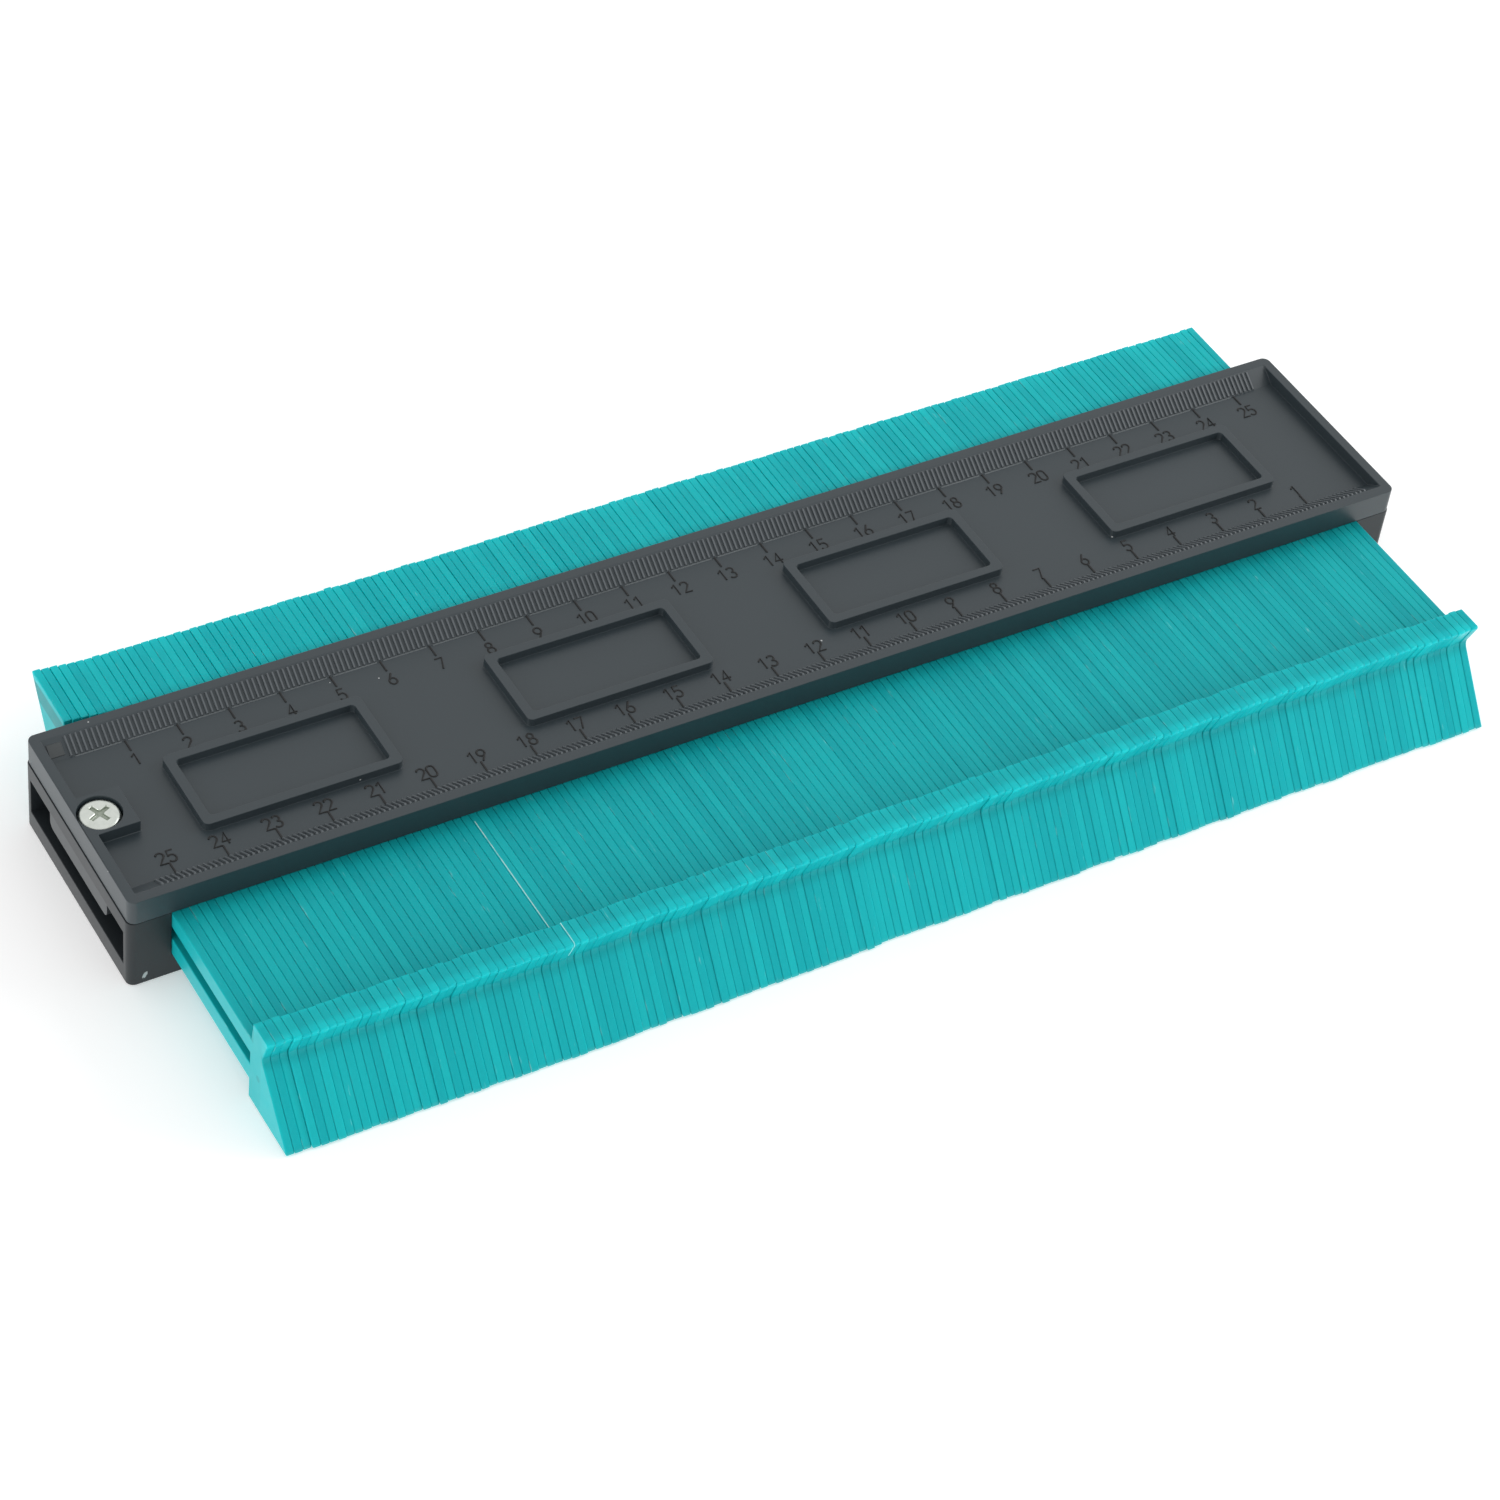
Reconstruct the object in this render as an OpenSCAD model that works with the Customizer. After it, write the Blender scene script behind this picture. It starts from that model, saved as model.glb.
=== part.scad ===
// Contour gauge: a row of thin leaves that slide front to back through a ruled body.
// Millimetres. Origin at the centre of the base's underside, +X along the rule,
// +Y towards the plain leaf ends, +Z up. The leaves are drawn forward, near their stop.

/* [Leaves] */
// Number of leaf groups along the body
leaf_groups = 40; // [30:1:54]
// Leaves in each group
leaves_per_group = 4; // [2:1:5]
// Distance from one leaf to the next
leaf_pitch = 1.575; // [1.4:0.025:2]
// Air gap between two neighbouring leaves
leaf_gap = 0.075; // [0.05:0.005:0.15]
// Height of the prong above the guide slot
upper_prong_h = 3.6; // [2.5:0.1:5]
// Height of the guide slot in a leaf
slot_h = 3.05; // [2.6:0.05:4.5]
// Height of the prong below the guide slot
lower_prong_h = 3.7; // [2.5:0.1:5]
// Length of prong showing between the body and the head
front_reach = 32; // [30.5:0.5:44]
// Length of leaf tip showing behind the body
back_reach = 14.8; // [13:0.2:24]
// How much shorter the slanted back tip is along its lower edge
back_slant = 8.7; // [5:0.1:9]
// Rise of the stop block behind the body above the prong
back_rise = 4.5; // [2:0.1:4.8]
// Nominal gap between the stop block and the back of the cover
stop_gap = 0.6; // [0.6:0.05:1]
// Solid length between the slot and the lower corner of the back tip
back_web = 2.5; // [2:0.1:5]

/* [Leaf head] */
// Rise of the lip above the prong
lip_rise = 4.5; // [2:0.1:5]
// Forward lean of the lip's back edge
lip_lean = 0.7; // [0:0.1:2]
// Forward reach of the lip's nose from the prong
nose_reach = 5.9; // [5:0.1:9]
// Forward reach of the hollow under the nose
hollow_reach = 4.3; // [3:0.1:4.8]
// Drop of that hollow below the top of the prong
hollow_drop = 0.9; // [0.5:0.1:3]
// Radius of the hollow
hollow_r = 2; // [1:0.5:4]
// Forward reach of the foot's tip from the prong
tip_reach = 14.4; // [11:0.1:18]
// How far the back of the foot stands behind the back of the lip
foot_back = 0.5; // [0.4:0.1:1.5]
// Solid length between the slot and the back of the foot
slot_web = 0.2; // [0.1:0.1:1]
// Height of the chamfer at the tip of the nose
nose_chamfer = 0.5; // [0.2:0.1:1]
// Height of the foot above the table
foot_lift = 0.3; // [0.2:0.05:1]

/* [Leaf positions] */
// How far the first leaves of the row are pushed back
end_push = 1.2; // [0:0.1:2]
// Number of leaves over which that push dies away
push_fade = 4; // [1:0.5:10]
// How far the row bows forward
bow = 0.4; // [0:0.05:0.45]
// Leaf at which the row bows most
bow_leaf = 45; // [20:1:100]
// Number of leaves to each side that the bow reaches
bow_width = 20; // [10:1:40]
// Random offset of each leaf
jitter = 0.12; // [0:0.01:0.14]

/* [Body] */
// Depth of the body, front to back
body_depth = 44.4; // [42:0.2:56]
// Length of the closed block at each end of the leaf channel
end_len = 8.05; // [7:0.05:12]
// Thickness of the base under the leaves
floor_t = 4.7; // [3.8:0.1:7]
// Height of the cover
cover_h = 5.3; // [4.6:0.1:8]
// How far the base stands proud of the cover at each end
cover_step = 0.2; // [0:0.05:1]
// Radius of the upright corners
corner_r = 1.5; // [0.5:0.1:3]
// Clearance between a leaf and the body, above, below and at the stack's ends
slide_gap = 0.1; // [0.05:0.01:0.2]

/* [End windows] */
// Height of the sill below the window
sill_h = 4; // [3:0.1:5]
// Thickness of the bridge above the window
bridge_t = 2; // [1.5:0.1:2.4]
// Extra thickness of the left bridge, over the bar's end block
bridge_drop = 1.4; // [0:0.1:1.6]
// Width of the upright at each side of the window
upright_w = 2.2; // [1.8:0.1:5]
// Thickness of the wall between the window and the leaves
inner_wall = 1.8; // [1.2:0.1:2.5]

/* [Cover face] */
// Width of the rim round the cover
rim = 2; // [1.6:0.1:3]
// Depth of the recess inside the rim
recess_d = 2.4; // [1.8:0.1:3]
// Width of the slope that carries the millimetre lines
slope_w = 3.6; // [2:0.1:5]
// Number of raised frames
frame_count = 4; // [2:1:4]
// Length of a raised frame
frame_len = 38.5; // [30:0.5:42]
// Depth of a raised frame
frame_depth = 18.6; // [14:0.2:24]
// Width of a raised frame's wall
frame_wall = 1.9; // [1.2:0.1:3]
// Outside corner radius of a raised frame
frame_r = 1.2; // [0.6:0.1:1.8]
// Inside corner radius of a raised frame
frame_in_r = 0.8; // [0.2:0.1:1.2]
// Height of a raised frame
frame_h = 1.7; // [0.8:0.05:1.9]
// Free length between the last frame and the end of the recess
frame_end = 17.7; // [16:0.1:19]
// Distance of the frames from the middle, towards the front
frame_fore = 0.4; // [0:0.1:1]

/* [Underside] */
// Number of shallow pockets under the base
pocket_count = 4; // [2:2:6]
// Depth of those pockets
pocket_d = 2.2; // [1:0.1:2.4]
// Width of the ribs and rim that the base rests on
foot_rib = 4; // [3:0.2:7]

/* [Guide bar] */
// Width of the guide bar
bar_w = 24.5; // [22:0.5:30]
// Clearance of the bar in the leaf slot, above and below
bar_gap = 0.2; // [0.1:0.05:0.3]
// How far the bar's end block reaches below the bar
bar_end_drop = 1.1; // [0:0.1:1.6]
// Radius of the end block's lower edges
bar_end_r = 1.4; // [0.5:0.1:1.8]
// How far the bar's ends lie inside the body's ends
bar_inset = 0.4; // [0.2:0.1:1]
// Gap between the end block and the wall behind it
bar_end_gap = 0.3; // [0.1:0.1:0.8]
// Wall of the round pad that meets the bridge
pad_wall = 1.8; // [1.2:0.1:2]

/* [Screw] */
// Diameter of the screw head
head_d = 7.7; // [5:0.1:8]
// Height of the screw head
head_h = 2.2; // [1.6:0.1:2.6]
// Diameter of the screw thread
thread_d = 3; // [2:0.1:3.5]
// Clearance round the screw head in its seat
head_gap = 0.2; // [0.1:0.05:0.3]
// Clearance round the thread in the cover and base
thread_gap = 0.2; // [0.1:0.05:0.4]
// Distance of the screw from the end of the cover
screw_inset = 4.3; // [4.2:0.1:4.6]
// Width of the raised seat round the screw
boss_w = 9.6; // [8.8:0.1:12]
// Length of that seat from the end of the cover
boss_len = 9.9; // [9:0.1:12]
// How far the screw head lies below the rim
head_sink = 0.1; // [0.05:0.05:0.6]
// Clearance round the thread in the guide bar
thread_fit = 0.05; // [0.02:0.01:0.1]
// Length of the arms of the cross recess
cross_len = 4.2; // [2.6:0.1:4.6]
// Width of the arms of the cross recess
cross_w = 0.8; // [0.6:0.05:1.2]
// Depth of the cross recess
cross_d = 0.7; // [0.5:0.1:1.3]
// Turn of the cross recess, in degrees
cross_turn = 25; // [0:5:90]

/* [Hook] */
// Width of the hook that holds the cover's other end
hook_w = 14; // [6:0.5:20]
// Thickness of the hook
hook_t = 1.4; // [1:0.1:1.8]
// Length of the hook's toe under the bridge
hook_toe = 1; // [0.6:0.1:1.2]
// Clearance round the hook
hook_gap = 0.15; // [0.1:0.05:0.25]

/* [Hidden] */
$fn = 64;
eps = 0.01;
leaf_count = leaf_groups * leaves_per_group;
leaf_t = leaf_pitch - leaf_gap;
stack_len = leaf_count * leaf_pitch - leaf_gap;
channel_len = stack_len + 2 * slide_gap;
body_len = channel_len + 2 * end_len;
cover_len = body_len - 2 * cover_step;

leaf_h = lower_prong_h + slot_h + upper_prong_h;
leaf_z = floor_t + slide_gap;
slot_z = leaf_z + lower_prong_h;
prong_top_z = leaf_z + leaf_h;
base_h = prong_top_z + slide_gap;
top_z = base_h + cover_h;
recess_z = top_z - recess_d;

lip_y = -body_depth / 2 - front_reach;
back_y = body_depth / 2 + back_reach;
slot_front_y = lip_y + foot_back - slot_web;
slot_back_y = back_y - back_slant - back_web;
stop_y = body_depth / 2 + stop_gap;

bar_z = slot_z + bar_gap;
bar_t = slot_h - 2 * bar_gap;
bar_end_x = body_len / 2 - bar_inset;
bridge_z = base_h - bridge_t;
left_bridge_z = max(bridge_z - bridge_drop, bar_z + bar_t + bar_gap);
bar_end_z = max(bar_z - bar_end_drop, sill_h + bar_gap);
window_depth = end_len - inner_wall;
window_w = body_depth - 2 * upright_w;

screw_x = -cover_len / 2 + screw_inset;
seat_z = top_z - head_h - head_sink;
thread_end_z = bar_z + 2 * bar_gap;
hook_x = body_len / 2 - window_depth / 2;

leaf_shift = rands(-jitter, jitter, leaf_count, 7);
teal = [0.15, 0.68, 0.68];
grey = [0.29, 0.30, 0.31];
zinc = [0.80, 0.80, 0.78];

function group_name(g) = str("leaves_", g < 10 ? "0" : "", g);

// Flat plate with rounded upright corners, standing on z = 0
module plate(l, d, h, r) {
    linear_extrude(h) {
        square([l - 2 * r, d], center = true);
        square([l, d - 2 * r], center = true);
        for (x = [-1, 1], y = [-1, 1])
            translate([x * (l / 2 - r), y * (d / 2 - r)]) circle(r);
    }
}

// Box centred in X and Y, standing on z = 0
module block(l, d, h) {
    translate([-l / 2, -d / 2, 0]) cube([l, d, h]);
}

// Straight bar along X with its YZ section given as polygon points
module along_x(l, points) {
    translate([-l / 2, 0, 0]) rotate([90, 0, 90]) linear_extrude(l) polygon(points);
}

// Lower shell: floor, two end blocks with windows, underside pockets
module base_tray() {
    pocket_len = (body_len - (pocket_count + 1) * foot_rib) / pocket_count;
    color(grey) difference() {
        plate(body_len, body_depth, base_h, corner_r);
        translate([0, 0, floor_t]) block(channel_len, body_depth + 2, base_h);
        for (side = [-1, 1]) {
            translate([side * (body_len - window_depth + eps) / 2, 0, sill_h])
                block(window_depth + eps, window_w, (side < 0 ? left_bridge_z : bridge_z) - sill_h);
            translate([side * (channel_len + end_len) / 2, 0, bar_z - bar_gap])
                block(end_len, bar_w + 2 * bar_gap, bar_t + 2 * bar_gap);
        }
        translate([screw_x, 0, left_bridge_z - eps])
            cylinder(d = thread_d + 2 * thread_gap, h = base_h - left_bridge_z + 2 * eps);
        translate([hook_x, 0, bridge_z - eps])
            block(hook_t + hook_toe + 2 * hook_gap, hook_w + 2 * hook_gap, bridge_t + 2 * eps);
        for (i = [0:pocket_count - 1])
            translate([(i - (pocket_count - 1) / 2) * (pocket_len + foot_rib), 0, -eps])
                plate(pocket_len, body_depth - 2 * foot_rib, pocket_d + eps, corner_r);
    }
}

// Raised rectangular frame on the cover's recessed face
module raised_frame() {
    difference() {
        plate(frame_len, frame_depth, frame_h + eps, frame_r);
        translate([0, 0, -eps])
            plate(frame_len - 2 * frame_wall, frame_depth - 2 * frame_wall, frame_h + 3 * eps, frame_in_r);
    }
}

// Upper shell: rim, recess with sloped scale strips, frames, screw seat and hook
module top_cover() {
    recess_len = cover_len - 2 * rim;
    edge_y = body_depth / 2 - rim;
    foot_y = edge_y - slope_w;
    frame_pitch = (recess_len - 2 * frame_end - frame_len) / (frame_count - 1);
    color(grey) difference() {
        union() {
            difference() {
                translate([0, 0, base_h]) plate(cover_len, body_depth, cover_h, corner_r);
                along_x(recess_len, [[-foot_y, recess_z], [foot_y, recess_z],
                    [edge_y, top_z], [edge_y, top_z + 1], [-edge_y, top_z + 1], [-edge_y, top_z]]);
            }
            for (i = [0:frame_count - 1])
                translate([(i - (frame_count - 1) / 2) * frame_pitch, -frame_fore, recess_z - eps])
                    raised_frame();
            translate([-cover_len / 2 + boss_len / 2 + eps, 0, base_h + eps])
                block(boss_len, boss_w, cover_h - eps);
            cover_hook();
        }
        translate([screw_x, 0, base_h - eps])
            cylinder(d = thread_d + 2 * thread_gap, h = cover_h);
        translate([screw_x, 0, seat_z])
            cylinder(d = head_d + 2 * head_gap, h = cover_h);
    }
}

// Hook under the cover's right end: a leg through the bridge and a toe below it
module cover_hook() {
    leg_x = hook_x - hook_toe / 2;
    toe_z = bridge_z - hook_gap - hook_t;
    translate([leg_x, 0, toe_z]) block(hook_t, hook_w, base_h - toe_z + eps);
    translate([leg_x + hook_toe / 2, 0, toe_z]) block(hook_t + hook_toe, hook_w, hook_t);
}

// Flat bar through every leaf slot, with a thick left end that takes the screw
module guide_bar() {
    bar_top = bar_z + bar_t;
    end_l = window_depth - bar_inset - bar_end_gap;
    half = bar_w / 2;
    color([0.42, 0.43, 0.44]) difference() {
        union() {
            translate([0, 0, bar_z]) block(2 * bar_end_x, bar_w, bar_t);
            translate([-bar_end_x + end_l / 2, 0, bar_end_z]) block(end_l, bar_w, bar_top - bar_end_z);
            translate([screw_x, 0, bar_top - eps])
                cylinder(d = thread_d + 2 * pad_wall, h = left_bridge_z - bar_top + eps);
        }
        for (side = [-1, 1])
            difference() {
                translate([-bar_end_x + end_l / 2, side * (half - bar_end_r / 2 + eps), bar_end_z - eps])
                    block(end_l + 2 * eps, bar_end_r + 2 * eps, bar_end_r + eps);
                translate([-bar_end_x - 1, side * (half - bar_end_r), bar_end_z + bar_end_r])
                    rotate([0, 90, 0]) cylinder(r = bar_end_r, h = end_l + 2);
            }
        translate([screw_x, 0, bar_end_z - 1])
            cylinder(d = thread_d + 2 * thread_fit, h = left_bridge_z - bar_end_z + 2);
    }
}

// Pan-head screw with a cross recess, standing in the cover's seat
module cover_screw() {
    r = head_d / 2;
    color(zinc) translate([screw_x, 0, 0]) difference() {
        union() {
            translate([0, 0, seat_z]) rotate_extrude()
                polygon([[0, 0], [r, 0], [r, head_h - 0.7], [r - 0.5, head_h - 0.2],
                         [r - 1.2, head_h], [0, head_h]]);
            translate([0, 0, thread_end_z]) cylinder(d = thread_d, h = seat_z - thread_end_z + eps);
        }
        for (a = [0, 90])
            rotate([0, 0, cross_turn + a]) translate([0, 0, seat_z + head_h - cross_d])
                block(cross_len, cross_w, cross_d + eps);
    }
}

// Side view of a leaf: back tip, stop block, prongs round the slot, lip, hollow and foot
module leaf_profile() {
    front_angle = atan2(tip_reach - hollow_reach, prong_top_z - hollow_drop - foot_lift);
    nose_angle = atan2(nose_reach - hollow_reach, lip_rise + hollow_drop);
    centre = [lip_y - hollow_reach - hollow_r, prong_top_z - hollow_drop];
    difference() {
        polygon(concat(
            [[back_y, prong_top_z + back_rise], [stop_y, prong_top_z + back_rise],
             [stop_y, prong_top_z], [lip_y, prong_top_z],
             [lip_y - lip_lean, prong_top_z + lip_rise],
             [lip_y - nose_reach, prong_top_z + lip_rise],
             [lip_y - nose_reach - nose_chamfer / 2, prong_top_z + lip_rise - nose_chamfer]],
            [for (k = [-2:2])
                let (a = k < 0 ? nose_angle * k / -2 : -front_angle * k / 2)
                centre + hollow_r * [cos(a), sin(a)]],
            [[lip_y - tip_reach, foot_lift], [lip_y + foot_back, foot_lift],
             [lip_y + foot_back, leaf_z], [back_y - back_slant, leaf_z]]));
        translate([slot_front_y, slot_z]) square([slot_back_y - slot_front_y, slot_h]);
    }
}

// Where leaf i sits: pushed back at the start of the row, bowed forward further on
function leaf_y(i) = end_push * exp(-i / push_fade)
    - bow * exp(-pow((i - bow_leaf) / bow_width, 2)) + leaf_shift[i];

// One leaf, its left face at the start of its pitch
module leaf(i) {
    translate([-stack_len / 2 + i * leaf_pitch, leaf_y(i), 0])
        rotate([90, 0, 90]) linear_extrude(leaf_t) leaf_profile();
}

// Neighbouring leaves that are pushed together
module leaf_group(g) {
    color(teal) for (k = [0:leaves_per_group - 1]) leaf((g - 1) * leaves_per_group + k);
}

base_tray();
top_cover();
guide_bar();
cover_screw();
for (g = [1:leaf_groups])
    leaf_group(g);
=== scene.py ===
import math
import random

import bpy
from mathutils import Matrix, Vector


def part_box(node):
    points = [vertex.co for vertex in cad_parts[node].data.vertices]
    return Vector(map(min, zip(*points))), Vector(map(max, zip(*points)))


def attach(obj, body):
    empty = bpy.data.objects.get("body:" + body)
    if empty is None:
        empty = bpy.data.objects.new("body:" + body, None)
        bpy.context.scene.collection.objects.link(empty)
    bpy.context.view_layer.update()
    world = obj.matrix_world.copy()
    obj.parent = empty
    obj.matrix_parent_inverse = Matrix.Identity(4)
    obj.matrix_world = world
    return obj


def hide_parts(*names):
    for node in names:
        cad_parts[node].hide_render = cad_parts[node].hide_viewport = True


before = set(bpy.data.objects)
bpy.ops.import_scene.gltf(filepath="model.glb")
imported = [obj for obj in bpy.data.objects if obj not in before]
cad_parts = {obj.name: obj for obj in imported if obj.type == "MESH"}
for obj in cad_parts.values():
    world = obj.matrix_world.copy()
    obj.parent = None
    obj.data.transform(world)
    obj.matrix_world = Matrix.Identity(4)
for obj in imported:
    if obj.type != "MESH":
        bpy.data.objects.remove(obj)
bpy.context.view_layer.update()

# ---- Camera -------------------------------------------------------------------------------------
# A 100 mm lens looks down on the gauge from its front left corner, so the left end, the cover and
# the hooked heads of the leaves all show.
bpy.ops.object.select_all(action="DESELECT")
bpy.ops.object.camera_add(
    location=(-0.32949, -0.46790, 0.53981),
    rotation=(math.radians(45.5513), math.radians(-5.7353), math.radians(-29.9578)),
)
camera = bpy.context.object
camera.name = "camera"
camera.data.sensor_width = 36
camera.data.lens = 100.05
camera.data.clip_start = 0.01
camera.data.clip_end = 20
bpy.context.scene.camera = camera
bpy.context.scene.view_settings.view_transform = "Standard"

# ---- Base tray ----------------------------------------------------------------------------------
# The lower shell: a floor under the leaves, a solid block at each end, a window in each end wall.
# Injection moulded ABS in dark grey; every outer edge has the small radius of the mould. It stands
# for the same plastic as the cover, but is darker and duller here, as the photograph shows it: its
# darker colour is painted shade.


def linear(hex_colour):
    parts = [int(hex_colour[i:i + 2], 16) / 255 for i in (1, 3, 5)]
    levels = [p / 12.92 if p <= 0.04045 else ((p + 0.055) / 1.055) ** 2.4 for p in parts]
    return tuple(levels) + (1.0,)


def add_node(tree, kind, sockets=(), links=(), **settings):
    new = tree.nodes.new(kind)
    for name, value in settings.items():
        setattr(new, name, value)
    for name, value in dict(sockets).items():
        new.inputs[name].default_value = value
    for name, source in dict(links).items():
        tree.links.new(source, new.inputs[name])
    return new


def per_mm(size):
    """Pattern scale for a detail of this many millimetres, as Object coordinates are metres."""
    return 1000 / size


def pick(piece):
    bpy.ops.object.select_all(action="DESELECT")
    piece.select_set(True)
    bpy.context.view_layer.objects.active = piece


def dressed(node, name, edge_mm, segments, cut_y=None, clamp=False):
    """A copy of a CAD node with its loose triangles merged to plain faces and its edges rounded."""
    piece = bpy.data.objects.new(name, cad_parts[node].data.copy())
    bpy.context.scene.collection.objects.link(piece)
    pick(piece)
    bpy.ops.mesh.customdata_custom_splitnormals_clear()
    bpy.ops.object.mode_set(mode="EDIT")
    bpy.ops.mesh.select_all(action="SELECT")
    bpy.ops.mesh.remove_doubles(threshold=0.000002)
    bpy.ops.mesh.dissolve_limited(angle_limit=math.radians(0.5))
    if cut_y:
        bpy.ops.mesh.select_all(action="SELECT")
        bpy.ops.mesh.bisect(plane_co=(0, cut_y, 0), plane_no=(0, 1, 0))
    bpy.ops.object.mode_set(mode="OBJECT")
    rounding = piece.modifiers.new("edge radius", "BEVEL")
    rounding.width = edge_mm / 1000
    rounding.segments = segments
    rounding.limit_method = "ANGLE"
    rounding.angle_limit = math.radians(30)
    rounding.use_clamp_overlap = clamp
    bpy.ops.object.modifier_apply(modifier=rounding.name)
    bpy.ops.object.shade_smooth_by_angle(angle=math.radians(40))
    flats = piece.modifiers.new("flat faces stay flat", "WEIGHTED_NORMAL")
    flats.keep_sharp = True
    bpy.ops.object.modifier_apply(modifier=flats.name)
    piece.data.materials.clear()
    return piece


def moulded_abs(name, dark, light, roughness, grain_mm, grain_lift, chip=None):
    """ABS from a fine spark-eroded mould: dark, satin, with a faint grain and a few dust specks."""
    material = bpy.data.materials.new(name)
    material.use_nodes = True
    tree = material.node_tree
    tree.nodes.clear()
    place = add_node(tree, "ShaderNodeTexCoord").outputs["Object"]
    cloud = add_node(tree, "ShaderNodeTexNoise", {"Scale": per_mm(30), "Detail": 3.0},
                     {"Vector": place})
    grain = add_node(tree, "ShaderNodeTexNoise", {"Scale": per_mm(grain_mm), "Detail": 2.0},
                     {"Vector": place})
    tone = add_node(tree, "ShaderNodeMix", {6: linear(dark), 7: linear(light)},
                    {0: cloud.outputs["Fac"]}, data_type="RGBA")
    # Dust: at most one pale speck, up to 0.4 mm across, in each cell of about 9 mm.
    cells = add_node(tree, "ShaderNodeTexVoronoi", {"Scale": per_mm(9)}, {"Vector": place})
    near = add_node(tree, "ShaderNodeMath", {1: 0.020}, {0: cells.outputs["Distance"]},
                    operation="LESS_THAN")
    pale = add_node(tree, "ShaderNodeMix", {7: linear("#B9BCBC")},
                    {0: near.outputs[0], 6: tone.outputs[2]}, data_type="RGBA")
    colour = pale.outputs[2]
    if chip:
        # A knock has whitened a drop-shaped spot about 1.5 mm long.
        off = add_node(tree, "ShaderNodeMapping",
                       {"Location": chip, "Rotation": (0.0, math.radians(25), 0.0),
                        "Scale": (0.0004, 0.0008, 0.0009)},
                       {"Vector": place}, vector_type="TEXTURE")
        torn = add_node(tree, "ShaderNodeTexNoise", {"Scale": per_mm(0.4)}, {"Vector": place})
        ragged = add_node(tree, "ShaderNodeVectorMath", {},
                          {0: off.outputs[0], 1: torn.outputs["Color"]}, operation="ADD")
        reach = add_node(tree, "ShaderNodeVectorMath", {1: (0.5, 0.5, 0.5)},
                         {0: ragged.outputs[0]}, operation="DISTANCE")
        spot = add_node(tree, "ShaderNodeMapRange", {"From Min": 1.0, "From Max": 0.75},
                        {"Value": reach.outputs["Value"]})
        knock = add_node(tree, "ShaderNodeMix", {7: linear("#A9AFAF")},
                         {0: spot.outputs[0], 6: colour}, data_type="RGBA")
        colour = knock.outputs[2]
    gloss = add_node(tree, "ShaderNodeMapRange",
                     {"To Min": roughness - 0.05, "To Max": roughness + 0.07},
                     {"Value": cloud.outputs["Fac"]})
    relief = add_node(tree, "ShaderNodeBump", {"Strength": 0.25, "Distance": grain_lift / 1000},
                      {"Height": grain.outputs["Fac"]})
    skin = add_node(tree, "ShaderNodeBsdfPrincipled", {"IOR": 1.53},
                    {"Base Color": colour, "Roughness": gloss.outputs[0],
                     "Normal": relief.outputs[0]})
    add_node(tree, "ShaderNodeOutputMaterial", {}, {"Surface": skin.outputs[0]})
    return material


body_abs = moulded_abs("moulded ABS, dark grey", "#283237", "#2E383D", 0.40, 0.35, 0.02)
# Painted shade: the base's darker colours stand for the shade it lies in below the cover and the
# leaves.
shaded_base_abs = moulded_abs("moulded ABS, dark grey, chipped, painted shade", "#202528", "#262B2E", 0.40, 0.35, 0.02,
                       chip=(-0.13105, -0.0222, 0.0018))

base = dressed("base_tray", "base", 0.15, 2)
shaded_base_abs.node_tree.nodes["Principled BSDF"].inputs["Specular IOR Level"].default_value = 0.25
base.data.materials.append(shaded_base_abs)
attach(base, "body")
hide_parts("base_tray")

# ---- Guide bar ----------------------------------------------------------------------------------
# A flat bar through the slots of all the leaves; its rounded end shows in the left window.
# Moulded ABS, a little paler than the body; the cover's screw holds it down at its end pad.
bar_abs = moulded_abs("moulded ABS, mid grey", "#33383B", "#3A3F42", 0.45, 0.4, 0.02)

bar = dressed("guide_bar", "bar", 0.25, 2, clamp=True)
bar.data.materials.append(bar_abs)
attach(bar, "body")
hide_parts("guide_bar")

# ---- Leaves -------------------------------------------------------------------------------------
# About 160 thin sliding leaves with a hooked head, four to a group, held in step by friction.
# Moulded teal ABS with rounded edges; the tone differs a little by leaf, with pale scuffs.
leaf_pitch = 0.001575
first_leaf_x = -0.12600
body_front_y = -0.0235  # 1.5 mm in front of the body
prong_z = 0.0149  # a little below the top of the prongs
lip_z = 0.0185  # a little below the top of the lip and of the stop block
hollow_z = 0.0140  # height of the hollow under the nose

leaf_abs = bpy.data.materials.new("moulded ABS, teal")
leaf_abs.use_nodes = True
tree = leaf_abs.node_tree
tree.nodes.clear()
place = add_node(tree, "ShaderNodeTexCoord").outputs["Object"]
axes = add_node(tree, "ShaderNodeSeparateXYZ", {}, {"Vector": place})
x_at, y_at, z_at = axes.outputs["X"], axes.outputs["Y"], axes.outputs["Z"]
# Each leaf has its own tone, drawn by its number in the row.
shifted = add_node(tree, "ShaderNodeMath", {1: first_leaf_x}, {0: x_at}, operation="SUBTRACT")
counted = add_node(tree, "ShaderNodeMath", {1: leaf_pitch}, {0: shifted.outputs[0]},
                   operation="DIVIDE")
number = add_node(tree, "ShaderNodeMath", {}, {0: counted.outputs[0]}, operation="FLOOR")
lot = add_node(tree, "ShaderNodeTexWhiteNoise", {}, {"W": number.outputs[0]},
               noise_dimensions="1D")
tone = add_node(tree, "ShaderNodeMix", {6: linear("#0CA5AB"), 7: linear("#14B2B6")},
                {0: lot.outputs["Value"]}, data_type="RGBA")
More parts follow.
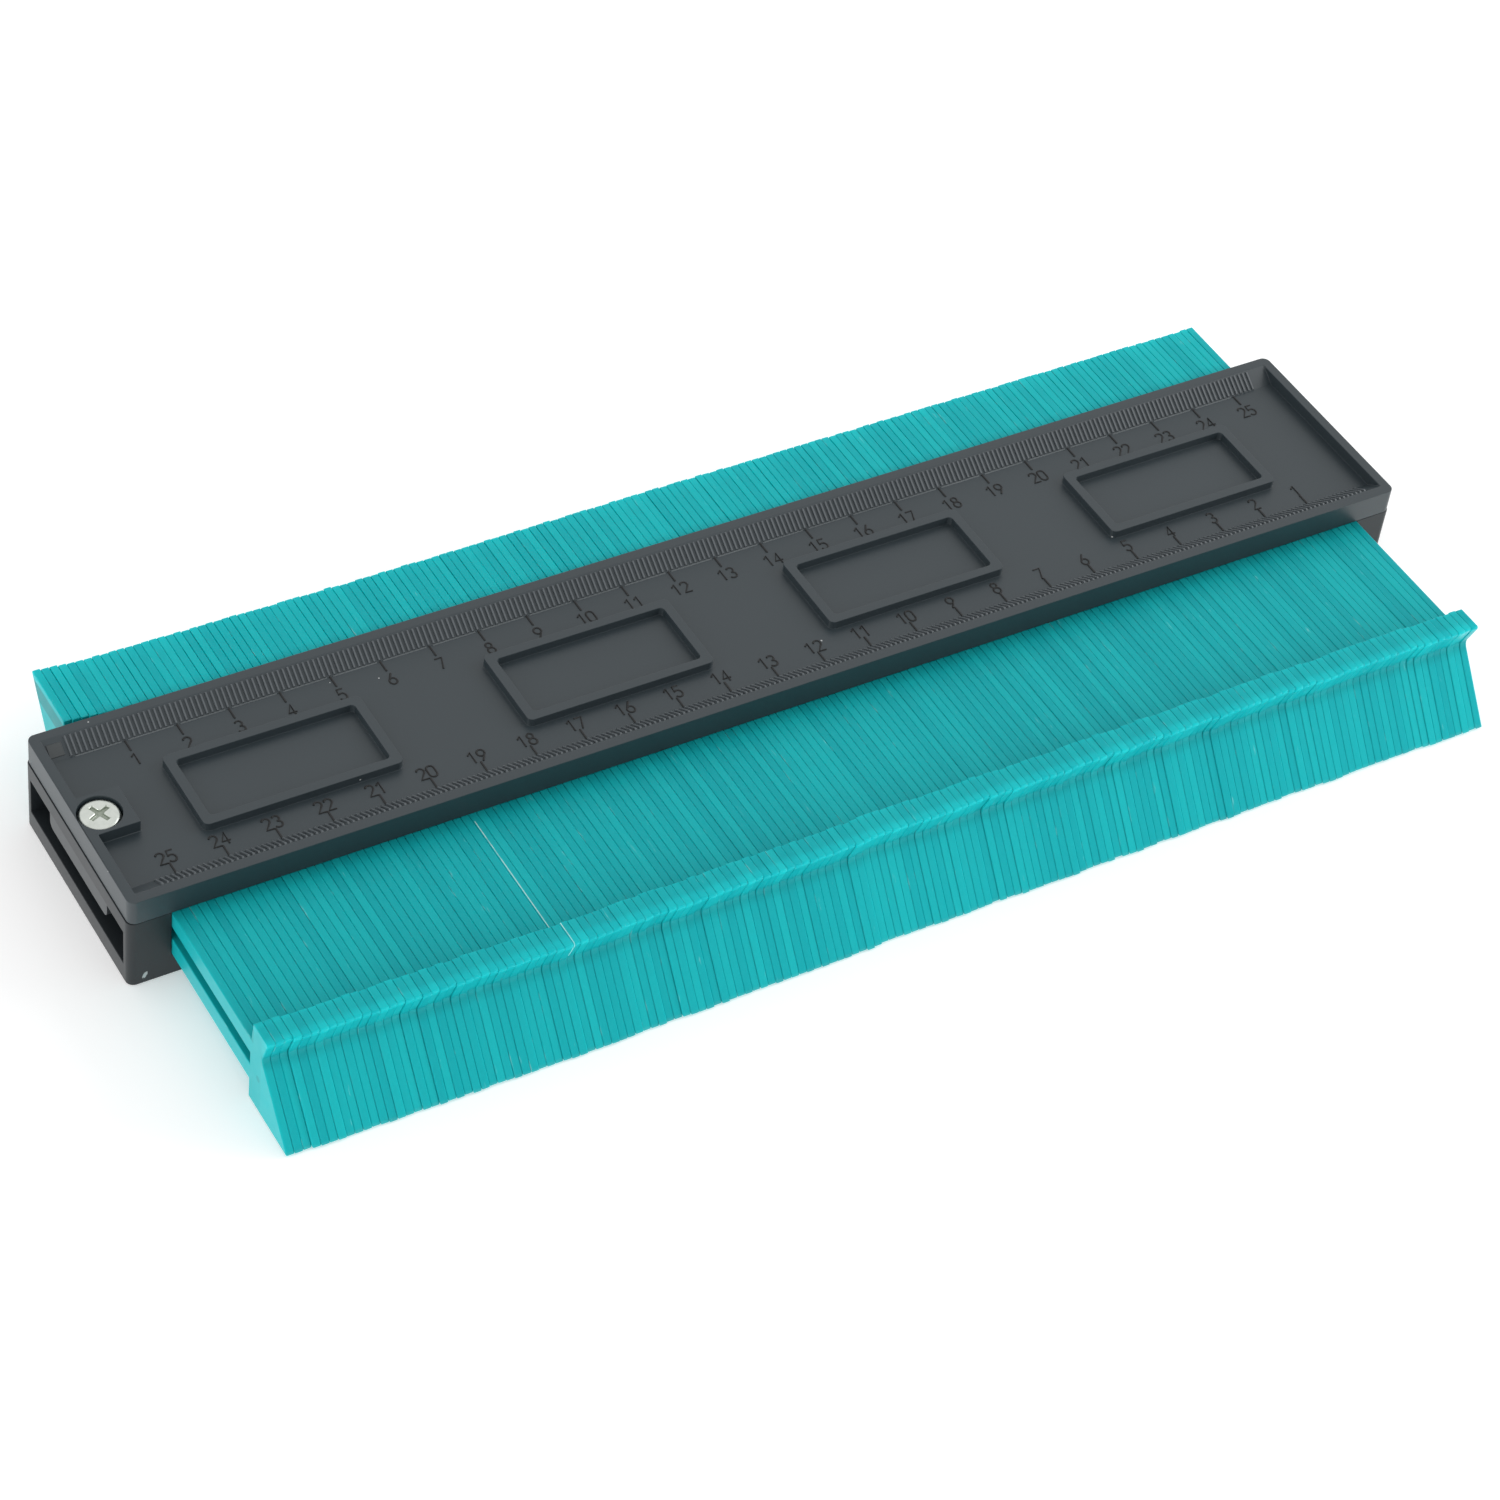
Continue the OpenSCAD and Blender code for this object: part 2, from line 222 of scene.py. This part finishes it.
# Scuffs: pale streaks about 0.3 mm wide and 3 mm long that follow the leaf.
stretch = add_node(tree, "ShaderNodeMapping", {"Scale": (1.0, 0.1, 0.1)}, {"Vector": place})
scratch = add_node(tree, "ShaderNodeTexNoise",
                   {"Scale": per_mm(0.6), "Detail": 3.0, "Roughness": 0.6},
                   {"Vector": stretch.outputs[0]})
scuff = add_node(tree, "ShaderNodeMapRange", {"From Min": 0.70, "From Max": 0.82, "To Max": 0.7},
                 {"Value": scratch.outputs["Fac"]}, name="scuff")
worn = add_node(tree, "ShaderNodeMix", {7: linear("#9ADCDA")},
                {0: scuff.outputs[0], 6: tone.outputs[2]}, data_type="RGBA")
# One leaf has a whitened edge, bent hard at some time: a line on its top, broken here and there.
whitened_x, whitened_half, whitened_back_y = -0.06900, 0.00008, -0.0240
off_edge = add_node(tree, "ShaderNodeMath", {1: whitened_x}, {0: x_at}, operation="SUBTRACT")
off_edge = add_node(tree, "ShaderNodeMath", {}, {0: off_edge.outputs[0]}, operation="ABSOLUTE")
edge = add_node(tree, "ShaderNodeMath", {1: whitened_half}, {0: off_edge.outputs[0]},
                operation="LESS_THAN")
on_top = add_node(tree, "ShaderNodeMath", {1: prong_z}, {0: z_at}, operation="GREATER_THAN")
in_front = add_node(tree, "ShaderNodeMath", {1: whitened_back_y}, {0: y_at}, operation="LESS_THAN")
broken = add_node(tree, "ShaderNodeMapRange", {"From Min": 0.32, "From Max": 0.50},
                  {"Value": scratch.outputs["Fac"]})
for part in (on_top, in_front, broken):
    edge = add_node(tree, "ShaderNodeMath", {}, {0: edge.outputs[0], 1: part.outputs[0]},
                    operation="MULTIPLY")
bent = add_node(tree, "ShaderNodeMix", {7: linear("#BFE6E2")},
                {0: edge.outputs[0], 6: worn.outputs[2]}, data_type="RGBA")
# The round mark of an ejector pin on the side of the first leaf's head.
pin_at = (-0.1261, -0.05654, 0.00806)
from_pin = add_node(tree, "ShaderNodeVectorMath", {1: pin_at}, {0: place}, operation="DISTANCE")
pin = add_node(tree, "ShaderNodeMapRange",
               {"From Min": 0.00075, "From Max": 0.0006, "To Max": 0.6},
               {"Value": from_pin.outputs["Value"]})
marked = add_node(tree, "ShaderNodeMix", {7: linear("#008A90")},
                  {0: pin.outputs[0], 6: bent.outputs[2]}, data_type="RGBA")
# The leaves turn grey-brown over the lowest millimetre, where the heads stand on the work.
low = add_node(tree, "ShaderNodeMapRange",
               {"From Min": 0.0009, "From Max": 0.0003, "To Max": 0.2}, {"Value": z_at})
greyed_low = add_node(tree, "ShaderNodeMix", {7: linear("#87897C")},
                 {0: low.outputs[0], 6: marked.outputs[2]}, data_type="RGBA")


# Painted shade along the cover's edges, in the corner behind the lip and in the hollow under the
# nose, and painted highlight on the nose, the lip's back edge, the fronts and the back tips. The
# strengths were set until brightness along the leaves came near the photograph's, so they carry its
# soft shading.
def grime_along(start, end, stops):
    """A grey ramp of painted shade and highlight along Y, through stops of Y in metres and half the
    factor on the colour.
    """
    share = add_node(tree, "ShaderNodeMapRange", {"From Min": start, "From Max": end},
                     {"Value": y_at})
    ramp = add_node(tree, "ShaderNodeValToRGB", {}, {0: share.outputs[0]})
    for _ in stops[2:]:
        ramp.color_ramp.elements.new(0.5)
    for element, (y, half) in zip(ramp.color_ramp.elements, stops):
        element.position = (y - start) / (end - start)
        element.color = (half, half, half, 1)
    return ramp.outputs[0]


# Painted shade on the prong tops: darker at the cover's front edge and behind the lip.
prong_top_shade = grime_along(-0.0545, -0.0225, (
    (-0.0540, 0.41), (-0.0500, 0.455), (-0.0430, 0.49), (-0.0390, 0.50),
    (-0.0310, 0.495), (-0.0270, 0.455), (-0.0252, 0.43), (-0.0228, 0.32)))
# Painted highlight and shade on the lip and the back tops: paler at the nose, the lip's back edge
# and the back tips, darker at the cover's back edge.
lip_top_shade_and_highlight = grime_along(-0.0605, 0.0375, (
    (-0.0604, 0.64), (-0.0592, 0.63), (-0.0580, 0.515), (-0.0557, 0.515), (-0.0550, 0.58),
    (-0.0541, 0.50), (0.0230, 0.44), (0.0250, 0.525), (0.0330, 0.535), (0.0350, 0.57),
    (0.0368, 0.61)))
on_lip = add_node(tree, "ShaderNodeMath", {1: lip_z}, {0: z_at}, operation="GREATER_THAN")
above = add_node(tree, "ShaderNodeMix", {}, {0: on_lip.outputs[0], 6: prong_top_shade, 7: lip_top_shade_and_highlight},
                 data_type="RGBA")
# Painted shade in the hollow under the nose, and painted highlight on the front faces above and
# below it.
deep = add_node(tree, "ShaderNodeMath", {1: hollow_z}, {0: z_at}, operation="SUBTRACT")
deep = add_node(tree, "ShaderNodeMath", {}, {0: deep.outputs[0]}, operation="ABSOLUTE")
deep = add_node(tree, "ShaderNodeMapRange",
                {"From Min": 0.0005, "From Max": 0.0020, "To Min": 0.44, "To Max": 0.535},
                {"Value": deep.outputs[0]})
nose_front_y, nose_back_y = -0.0576, -0.0545
at_front = add_node(tree, "ShaderNodeMath", {1: nose_front_y}, {0: y_at}, operation="LESS_THAN")
below = add_node(tree, "ShaderNodeMix", {6: (0.5, 0.5, 0.5, 1)},
                 {0: at_front.outputs[0], 7: deep.outputs[0]}, data_type="RGBA")
behind_nose = add_node(tree, "ShaderNodeMath", {1: nose_back_y}, {0: y_at},
                       operation="GREATER_THAN")
raised = add_node(tree, "ShaderNodeMath", {}, {0: on_top.outputs[0], 1: behind_nose.outputs[0]},
                  operation="MULTIPLY")
raised = add_node(tree, "ShaderNodeMath", {}, {0: raised.outputs[0], 1: on_lip.outputs[0]},
                  operation="MAXIMUM")
half = add_node(tree, "ShaderNodeMix", {},
                {0: raised.outputs[0], 6: below.outputs[2], 7: above.outputs[2]}, data_type="RGBA")
shaded = add_node(tree, "ShaderNodeVectorMath", {}, {0: greyed_low.outputs[2], 1: half.outputs[2]},
                  operation="MULTIPLY")
shaded = add_node(tree, "ShaderNodeVectorMath", {"Scale": 2.0}, {0: shaded.outputs[0]},
                  operation="SCALE")
# A satin skin with a faint ripple, through which a little light passes.
ripple = add_node(tree, "ShaderNodeTexNoise", {"Scale": per_mm(2.5), "Detail": 2.0},
                  {"Vector": place})
gloss = add_node(tree, "ShaderNodeMapRange", {"To Min": 0.30, "To Max": 0.44},
                 {"Value": ripple.outputs["Fac"]})
relief = add_node(tree, "ShaderNodeBump", {"Strength": 0.2, "Distance": 0.00003},
                  {"Height": ripple.outputs["Fac"]})
skin = add_node(tree, "ShaderNodeBsdfPrincipled",
                {"IOR": 1.53, "Specular IOR Level": 0.12, "Subsurface Weight": 0.5,
                 "Subsurface Radius": (0.2, 1.0, 1.0), "Subsurface Scale": 0.0008},
                {"Base Color": shaded.outputs[0], "Roughness": gloss.outputs[0],
                 "Normal": relief.outputs[0]})
add_node(tree, "ShaderNodeOutputMaterial", {}, {"Surface": skin.outputs[0]})

# The edges facing left and up or forward take more pale scuffs: wear rubbed by the work they are
# pushed against, and painted highlight for the light these edges catch.
highlit_rubbed_abs = leaf_abs.copy()
highlit_rubbed_abs.name = "moulded ABS, teal, rubbed edge with painted highlight"
edge_scuff_and_highlight = highlit_rubbed_abs.node_tree.nodes["scuff"]
edge_scuff_and_highlight.inputs["From Min"].default_value = 0.62
edge_scuff_and_highlight.inputs["From Max"].default_value = 0.78


def leaf_at(x):
    return math.floor((x - first_leaf_x) / leaf_pitch)


# Each leaf sits a few hundredths of a millimetre high, low or tipped on the bar, as loose ones do.
# The heads wander in and out along the row by a fifth of a millimetre or so, and the first few
# stand further out; this grows from nothing in front of the body, so the joints keep their room.
lift_play, tip_play, slip_play = 0.00004, 0.0012, 0.00008
bow_kept, bow_play = 0.85, 0.00014
end_reach, end_leaves = 0.0005, 4
head_length = 0.030
drawn_width = 1.042  # thicker than the solids, so that only hairlines show between the leaves
leaf_play = random.Random(11)
leaf_bow = 0.0
for group in range(1, 41):
    node = "leaves_%02d" % group
    leaves = dressed(node, "leaf_group_%02d" % group, 0.135, 1, cut_y=body_front_y)
    stand = {}
    for vertex in leaves.data.vertices:
        leaf = leaf_at(vertex.co.x)
        if leaf not in stand:
            stand[leaf] = [leaf_play.uniform(-a, a) for a in (lift_play, tip_play, slip_play)]
    for leaf in sorted(stand):
        leaf_bow = bow_kept * leaf_bow + leaf_play.uniform(-bow_play, bow_play)
        stand[leaf].append(leaf_bow)
    for vertex in leaves.data.vertices:
        leaf = leaf_at(vertex.co.x)
        middle = first_leaf_x + leaf_pitch * (leaf + 0.5)
        lift, tip, slip, bow_out = stand[leaf]
        vertex.co.x = middle + (vertex.co.x - middle) * drawn_width
        out = min(max((body_front_y - vertex.co.y) / head_length, 0), 1)
        vertex.co.z += lift + tip * vertex.co.y
        vertex.co.y += (slip + bow_out - end_reach * math.exp(-leaf / end_leaves)) * out
    leaves.data.materials.append(leaf_abs)
    leaves.data.materials.append(highlit_rubbed_abs)
    # Painted highlight: the chamfers facing left and up or forward get the copy with more pale
    # scuffs.
    for face in leaves.data.polygons:
        highlit_left_edge = face.normal.x < -0.3 and (face.normal.z > 0.3 or face.normal.y < -0.3)
        face.material_index = 1 if highlit_left_edge else 0
    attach(leaves, node + "_slider")
    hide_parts(node)

# ---- Cover --------------------------------------------------------------------------------------
# The upper shell: a rim round a recess with two sloped strips and four raised frames on its floor.
# Moulded in the same dark grey ABS as the base, hooked on at the right end and screwed at the left.
cover = dressed("top_cover", "cover", 0.17, 2)
cover.data.materials.append(body_abs)
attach(cover, "body")
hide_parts("top_cover")

# ---- Millimetre ridges --------------------------------------------------------------------------
# Fine ridges 1 mm apart on the two sloped strips, moulded in one with the cover.
# Their crests are coloured a little paler than the floor of the recess: painted highlight, for the
# light the crests catch.
floor_z = 0.01815
foot_y = 0.0166
slope_rise, slope_run = 2.4, 3.6  # mm
slope_angle = math.atan2(slope_rise, slope_run)
slope_length = math.hypot(slope_rise, slope_run) / 1000
far_zero = -0.12761  # the far scale counts from the left
near_zero = 0.12728  # the near scale counts from the right
millimetre, ridge_count = 0.001, 256
centimetre, mark_count = 0.010, 25


def raised_rib(name, width, length, height, crown):
    """One rib along Y, narrower at its crown, with sloped ends; it must be longer than high."""
    bpy.ops.object.select_all(action="DESELECT")
    bpy.ops.mesh.primitive_cube_add(size=1, scale=(width, length, height))
    rib = bpy.context.object
    rib.name = name
    bpy.ops.object.transform_apply(location=False, rotation=False, scale=True)
    for face in rib.data.polygons:
        face.select = face.normal.z > 0.9
    for edge in rib.data.edges:
        edge.select = all(rib.data.vertices[v].co.z > 0 for v in edge.vertices)
    for vertex in rib.data.vertices:
        vertex.select = vertex.co.z > 0
    bpy.ops.object.mode_set(mode="EDIT")
    bpy.ops.transform.resize(value=(crown, 1 - height / length, 1),
                             center_override=(0, 0, height / 2))
    bpy.ops.object.mode_set(mode="OBJECT")
    return rib


def row_of(piece, count, step):
    pick(piece)
    row = piece.modifiers.new("row", "ARRAY")
    row.count = count
    row.use_relative_offset = False
    row.use_constant_offset = True
    row.constant_offset_displace = (step, 0, 0)
    bpy.ops.object.modifier_apply(modifier=row.name)


def set_place(piece, location, tilt):
    pick(piece)
    piece.location = location
    piece.rotation_euler = (tilt, 0, 0)
    bpy.ops.object.transform_apply(location=True, rotation=True, scale=True)


ridge_highlight_abs = moulded_abs("moulded ABS, dark grey, ridges with painted highlight", "#50565A", "#585E62",
                        0.4, 0.35, 0.02)
ridge_width, ridge_sink = 0.00050, 0.00010
along_slope = (math.cos(slope_angle), math.sin(slope_angle))
for side, zero, name, ridge_height in ((1, far_zero, "far", 0.00038),
                                       (-1, near_zero - 0.254, "near", 0.00044)):
    length = slope_length - 0.0003
    ridge = raised_rib(name + "_millimetre_ridges", ridge_width, length, ridge_height, 0.60)
    middle, up = slope_length / 2 - 0.0001, ridge_height / 2 - ridge_sink
    y = foot_y + along_slope[0] * middle - along_slope[1] * up
    z = floor_z + along_slope[1] * middle + along_slope[0] * up
    set_place(ridge, (zero, side * y, z), side * slope_angle)
    row_of(ridge, ridge_count, millimetre)
    ridge.data.materials.append(ridge_highlight_abs)
    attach(ridge, "body")

# The far strip ends at the left in a smooth land, coloured paler in patches: painted reflection of
# the light on its smooth face.
land_reflection_abs = moulded_abs("moulded ABS, dark grey, painted reflection", "#2A3236", "#454949",
                       0.40, 1.5, 0.02)
land = raised_rib("far_strip_land", 0.0030, slope_length * 0.62, 0.0003, 0.9)
land_x, land_share = -0.13000, 0.45  # its middle lies this far up the slope
set_place(land, (land_x, foot_y + along_slope[0] * slope_length * land_share,
                 floor_z + along_slope[1] * slope_length * land_share), slope_angle)
land.data.materials.append(land_reflection_abs)
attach(land, "body")

# ---- Centimetre ticks, numbers and foot line ----------------------------------------------------
# Marks a fraction of a millimetre high on the recess floor, moulded in one with the cover.
# They are coloured far darker than the floor round them: painted shade, for the shade in their
# steep corners.
mark_shade_abs = moulded_abs("moulded ABS, dark grey, painted shade in the marks", "#101213", "#17191A",
                       0.7, 0.3, 0.02)
tick_length, tick_width, mark_height, mark_sink = 0.0029, 0.00042, 0.00028, 0.0001
digit_height, digit_step, digit_middle, stroke = 0.0028, 0.00195, 0.26, 0.00042


def bow(cx, cy, rx, ry, start, end, count=10):
    turns = [math.radians(start + (end - start) * i / count) for i in range(count + 1)]
    return [(cx + rx * math.cos(a), cy + ry * math.sin(a)) for a in turns]


# Centre lines of the digits, as a mould engraver cuts them: height 1, width about a half.
strokes = {
    "0": [bow(0.26, 0.72, 0.26, 0.28, 0, 180) + bow(0.26, 0.28, 0.26, 0.28, 180, 360)
          + [(0.52, 0.72)]],
    "1": [[(0.06, 0.76), (0.30, 1.0), (0.30, 0.0)]],
    "2": [bow(0.26, 0.73, 0.25, 0.27, 165, -40) + [(0.02, 0.0), (0.54, 0.0)]],
    "3": [bow(0.25, 0.76, 0.23, 0.24, 150, -90), bow(0.24, 0.27, 0.27, 0.26, 90, -150)],
    "4": [[(0.38, 0.0), (0.38, 1.0), (0.0, 0.28), (0.56, 0.28)]],
    "5": [[(0.48, 1.0), (0.09, 1.0), (0.04, 0.54)] + bow(0.24, 0.31, 0.27, 0.31, 125, -150)],
    "6": [[(0.40, 1.0), (0.07, 0.46)] + bow(0.26, 0.29, 0.26, 0.29, 150, -210, 14)],
    "7": [[(0.0, 1.0), (0.50, 1.0), (0.16, 0.0)]],
    "8": [bow(0.26, 0.77, 0.21, 0.23, -90, 270, 12), bow(0.26, 0.27, 0.26, 0.27, 90, 450, 14)],
}
strokes["9"] = [[(0.52 - x, 1.0 - y) for x, y in line] for line in strokes["6"]]

for side, zero, name in ((1, far_zero, "far"), (-1, near_zero, "near")):
    first = zero + centimetre if side > 0 else zero - mark_count * centimetre
    tick = raised_rib(name + "_ticks", tick_width, tick_length, mark_height, 0.6)
    set_place(tick, (first, side * (foot_y - tick_length / 2),
                     floor_z + mark_height / 2 - mark_sink), 0)
    row_of(tick, mark_count, centimetre)
    figures = bpy.data.curves.new(name + "_numbers", "CURVE")
    figures.dimensions = "3D"
    figures.bevel_depth = stroke / 2
    figures.bevel_resolution = 0
    figures.use_fill_caps = True
    bottom = 0.0102 if side > 0 else -0.0138
    for value in range(1, mark_count + 1):
        digits = str(value)
        left = (zero + side * centimetre * value - (len(digits) - 1) * digit_step / 2
                - digit_middle * digit_height)
        for place_in_number, digit in enumerate(digits):
            for points in strokes[digit]:
                path = figures.splines.new("POLY")
                path.points.add(len(points) - 1)
                for point, (x, y) in zip(path.points, points):
                    point.co = (left + place_in_number * digit_step + x * digit_height,
                                bottom + y * digit_height, floor_z, 1)
    numbers = bpy.data.objects.new(name + "_numbers", figures)
    bpy.context.scene.collection.objects.link(numbers)
    pick(numbers)
    bpy.ops.object.convert(target="MESH")
    numbers = bpy.context.object
    for piece in (tick, numbers):
        piece.data.materials.clear()
        piece.data.materials.append(mark_shade_abs)
        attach(piece, "body")

# A thin raised line closes the foot of the far strip, broken at each tick, coloured unevenly pale:
# painted highlight, for the light its edge catches.
foot_line_highlight_abs = moulded_abs("moulded ABS, dark grey, foot line with painted highlight", "#4A5053", "#6C7275",
                       0.4, 1.5, 0.02)
line = raised_rib("far_foot_lines", 0.0088, 0.00042, 0.00028, 0.99)
set_place(line, (far_zero + centimetre / 2, foot_y - 0.00014, floor_z), 0)
row_of(line, mark_count, centimetre)
line.data.materials.append(foot_line_highlight_abs)
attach(line, "body")

# ---- Cover screw --------------------------------------------------------------------------------
# A pan-head screw with a cross recess, sunk in its seat at the left end of the cover.
# Zinc-plated steel: bright, slightly cloudy, with a duller cross whose darker colour is painted
# shade in the recess.
zinc = bpy.data.materials.new("zinc-plated steel")
zinc.use_nodes = True
tree = zinc.node_tree
tree.nodes.clear()
place = add_node(tree, "ShaderNodeTexCoord").outputs["Object"]
cloud = add_node(tree, "ShaderNodeTexNoise", {"Scale": per_mm(1.2), "Detail": 4.0},
                 {"Vector": place})
plate = add_node(tree, "ShaderNodeMix", {6: linear("#BCC2BB"), 7: linear("#DDE1DB")},
                 {0: cloud.outputs["Fac"]}, data_type="RGBA")
gloss = add_node(tree, "ShaderNodeMapRange", {"To Min": 0.22, "To Max": 0.38},
                 {"Value": cloud.outputs["Fac"]})
skin = add_node(tree, "ShaderNodeBsdfPrincipled", {"Metallic": 1.0},
                {"Base Color": plate.outputs[2], "Roughness": gloss.outputs[0]})
add_node(tree, "ShaderNodeOutputMaterial", {}, {"Surface": skin.outputs[0]})

screw = dressed("cover_screw", "screw", 0.3, 3)
screw.data.materials.append(zinc)
# Painted shade: the faces of the cross recess get a darker, less metallic copy of the zinc.
cross_shade_zinc = zinc.copy()
cross_shade_zinc.name = "zinc-plated steel, painted shade in the cross"
for shader in cross_shade_zinc.node_tree.nodes:
    if shader.type == "MIX":
        shader.inputs[6].default_value = linear("#8E978A")
        shader.inputs[7].default_value = linear("#B4BCAF")
    if shader.type == "BSDF_PRINCIPLED":
        shader.inputs["Metallic"].default_value = 0.3
screw.data.materials.append(cross_shade_zinc)
screw_x, screw_top = -0.12961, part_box("cover_screw")[1][2]
cross_radius, cross_top, cross_floor = 0.0024, screw_top - 0.0001, screw_top - 0.0015
for face in screw.data.polygons:
    inside = math.hypot(face.center.x - screw_x, face.center.y) < cross_radius
    face.material_index = 1 if inside and cross_floor < face.center.z < cross_top else 0
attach(screw, "body")
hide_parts("cover_screw")

# ---- Floor and light ----------------------------------------------------------------------------
# A white sheet that glows a little from below, as on a light table, in an even white room, with a
# soft lamp on the right and a weak one on the left. The sheet looks white and keeps the shadow.
bpy.ops.object.select_all(action="DESELECT")
bpy.ops.mesh.primitive_plane_add(size=8, location=(0, 0, -0.0001))
sheet = bpy.context.object
sheet.name = "floor"
paper = bpy.data.materials.new("white paper")
paper.use_nodes = True
tree = paper.node_tree
tree.nodes.clear()
matt = add_node(tree, "ShaderNodeBsdfDiffuse", {"Color": linear("#F0F0F0")})
path = add_node(tree, "ShaderNodeLightPath")
lift = add_node(tree, "ShaderNodeMapRange", {"To Min": 0.56, "To Max": 0.3},
                {"Value": path.outputs["Is Camera Ray"]})
glow = add_node(tree, "ShaderNodeEmission", {"Color": (1, 1, 1, 1)}, {"Strength": lift.outputs[0]})
both = add_node(tree, "ShaderNodeAddShader", {}, {0: matt.outputs[0], 1: glow.outputs[0]})
add_node(tree, "ShaderNodeOutputMaterial", {}, {"Surface": both.outputs[0]})
sheet.data.materials.append(paper)

room = bpy.data.worlds.new("white room")
bpy.context.scene.world = room
room.use_nodes = True
tree = room.node_tree
tree.nodes.clear()
path = add_node(tree, "ShaderNodeLightPath")
seen = add_node(tree, "ShaderNodeMath", {},
                {0: path.outputs["Is Camera Ray"], 1: path.outputs["Is Glossy Ray"]},
                operation="MAXIMUM")
seen = add_node(tree, "ShaderNodeMath", {},
                {0: seen.outputs[0], 1: path.outputs["Is Transmission Ray"]}, operation="MAXIMUM")
level = add_node(tree, "ShaderNodeMapRange", {"To Min": 0.79, "To Max": 1.0},
                 {"Value": seen.outputs[0]})
sky = add_node(tree, "ShaderNodeBackground", {"Color": (1, 1, 1, 1)},
               {"Strength": level.outputs[0]})
add_node(tree, "ShaderNodeOutputWorld", {}, {"Surface": sky.outputs[0]})

for name, location, size, power in (("soft_lamp_right", (0.90, -0.25, 0.42), 0.6, 4.2),
                                    ("soft_lamp_left", (-0.90, -0.05, 0.22), 0.4, 1.5)):
    bpy.ops.object.select_all(action="DESELECT")
    bpy.ops.object.light_add(type="AREA", location=location)
    lamp = bpy.context.object
    lamp.name = name
    lamp.data.size = size
    lamp.data.energy = power
    lamp.rotation_euler = (-lamp.location).to_track_quat("-Z", "Y").to_euler()
